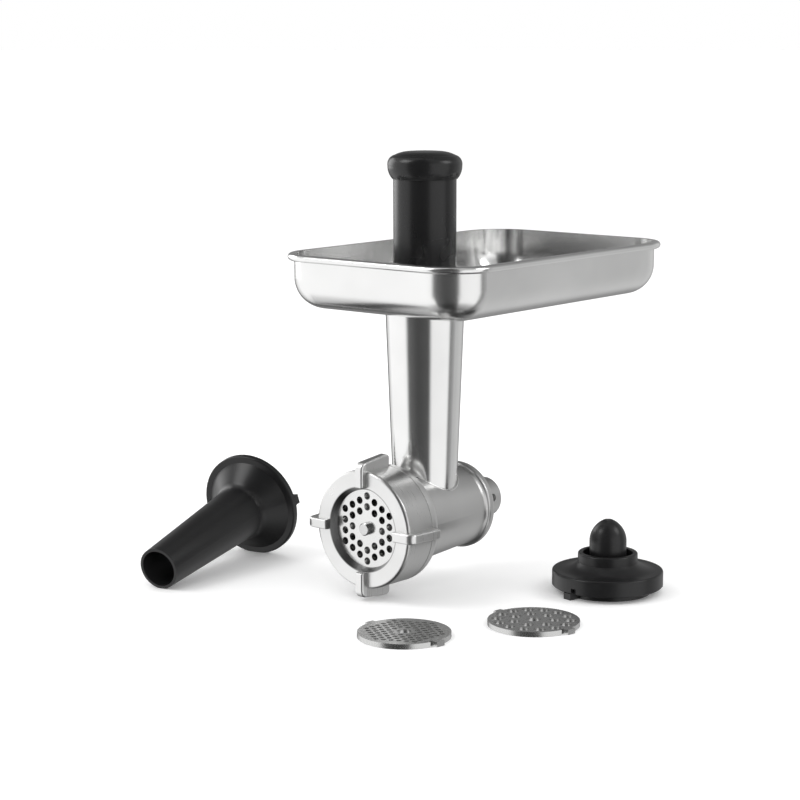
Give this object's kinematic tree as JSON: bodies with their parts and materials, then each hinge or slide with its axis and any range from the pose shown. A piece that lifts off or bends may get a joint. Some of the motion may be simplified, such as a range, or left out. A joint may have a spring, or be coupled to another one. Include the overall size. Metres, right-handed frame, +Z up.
{
  "type": "stand-mixer meat grinder",
  "caption": "Meat grinder attachment: barrel with auger, ring nut and plate, tapered feed tube, tray and pusher, with loose stuffer tube, kubbe cone and spare plates.",
  "frame": {"origin": "centre of the rear shoulder, where the hub boss leaves the flange, on the barrel's axis", "axes": "+Y along the hub boss towards the mixer, +Z up along the feed tube, -Y is the front with the ring nut"},
  "size_m": [0.3114, 0.3008, 0.2693],
  "materials": {
    "satin_casting": "satin, bead blasted and lightly brushed",
    "polished_steel": "polished stainless sheet with a fine brushed grain",
    "ground_steel": "ground",
    "plate_steel": "surface ground, bright",
    "bearing_bronze": "sintered, dull",
    "seal_rubber": "matt",
    "white_nylon": "matt",
    "black_plastic": "moulded, fine satin texture"
  },
  "bodies": {
    "housing": {"barrel": "satin_casting", "feed_tube": "polished_steel", "hub_bush": "bearing_bronze", "shaft_seal": "seal_rubber"},
    "tray": {"tray_pan": "polished_steel", "tray_collar": "polished_steel"},
    "pusher": {"pusher_barrel": "black_plastic", "pusher_cap": "black_plastic"},
    "auger": {"auger_screw": "satin_casting", "drive_shaft": "ground_steel", "shaft_pin": "ground_steel", "thrust_washer": "white_nylon", "knife_stud": "ground_steel", "cross_knife": "ground_steel"},
    "plate": {"medium_plate": "plate_steel"},
    "nut": {"ring_nut": "satin_casting"},
    "spare_fine": {"fine_plate": "plate_steel"},
    "spare_coarse": {"coarse_plate": "plate_steel"},
    "stuffer": {"stuffer_tube": "black_plastic"},
    "former": {"kubbe_former": "black_plastic"},
    "cone": {"kubbe_cone": "black_plastic"}
  },
  "joints": [
    {"name": "tray_lift", "type": "slide", "parent": "housing", "child": "tray", "axis": [0, 0, 1], "range_m": [0, 0.04]},
    {"name": "pusher_slide", "type": "slide", "parent": "tray", "child": "pusher", "axis": [0, 0, 1], "range_m": [-0.07, 0.05]},
    {"name": "auger_turn", "type": "hinge", "parent": "housing", "child": "auger", "pos_m": [0, 0, 0], "axis": [0, 1, 0], "continuous": true},
    {"name": "plate_slide", "type": "slide", "parent": "housing", "child": "plate", "axis": [0, -1, 0], "range_m": [0, 0.0121]},
    {"name": "nut_turn", "type": "hinge", "parent": "plate", "child": "nut", "pos_m": [0, -0.08, 0], "axis": [0, -1, 0], "range_deg": [0, 1080]},
    {"name": "fine_plate_lift", "type": "slide", "parent": "housing", "child": "spare_fine", "axis": [0, 0, 1], "range_m": [0, 0.04]},
    {"name": "coarse_plate_lift", "type": "slide", "parent": "housing", "child": "spare_coarse", "axis": [0, 0, 1], "range_m": [0, 0.04]},
    {"name": "stuffer_lift", "type": "slide", "parent": "housing", "child": "stuffer", "axis": [0, 0, 1], "range_m": [0, 0.04]},
    {"name": "former_lift", "type": "slide", "parent": "housing", "child": "former", "axis": [0, 0, 1], "range_m": [0, 0.04]},
    {"name": "cone_lift", "type": "slide", "parent": "former", "child": "cone", "axis": [0, 0, 1], "range_m": [0, 0.05]}
  ],
  "couplings": [
    {"joint": "plate_slide", "follows": "nut_turn", "m_per_rad": 0.00063662}
  ]
}
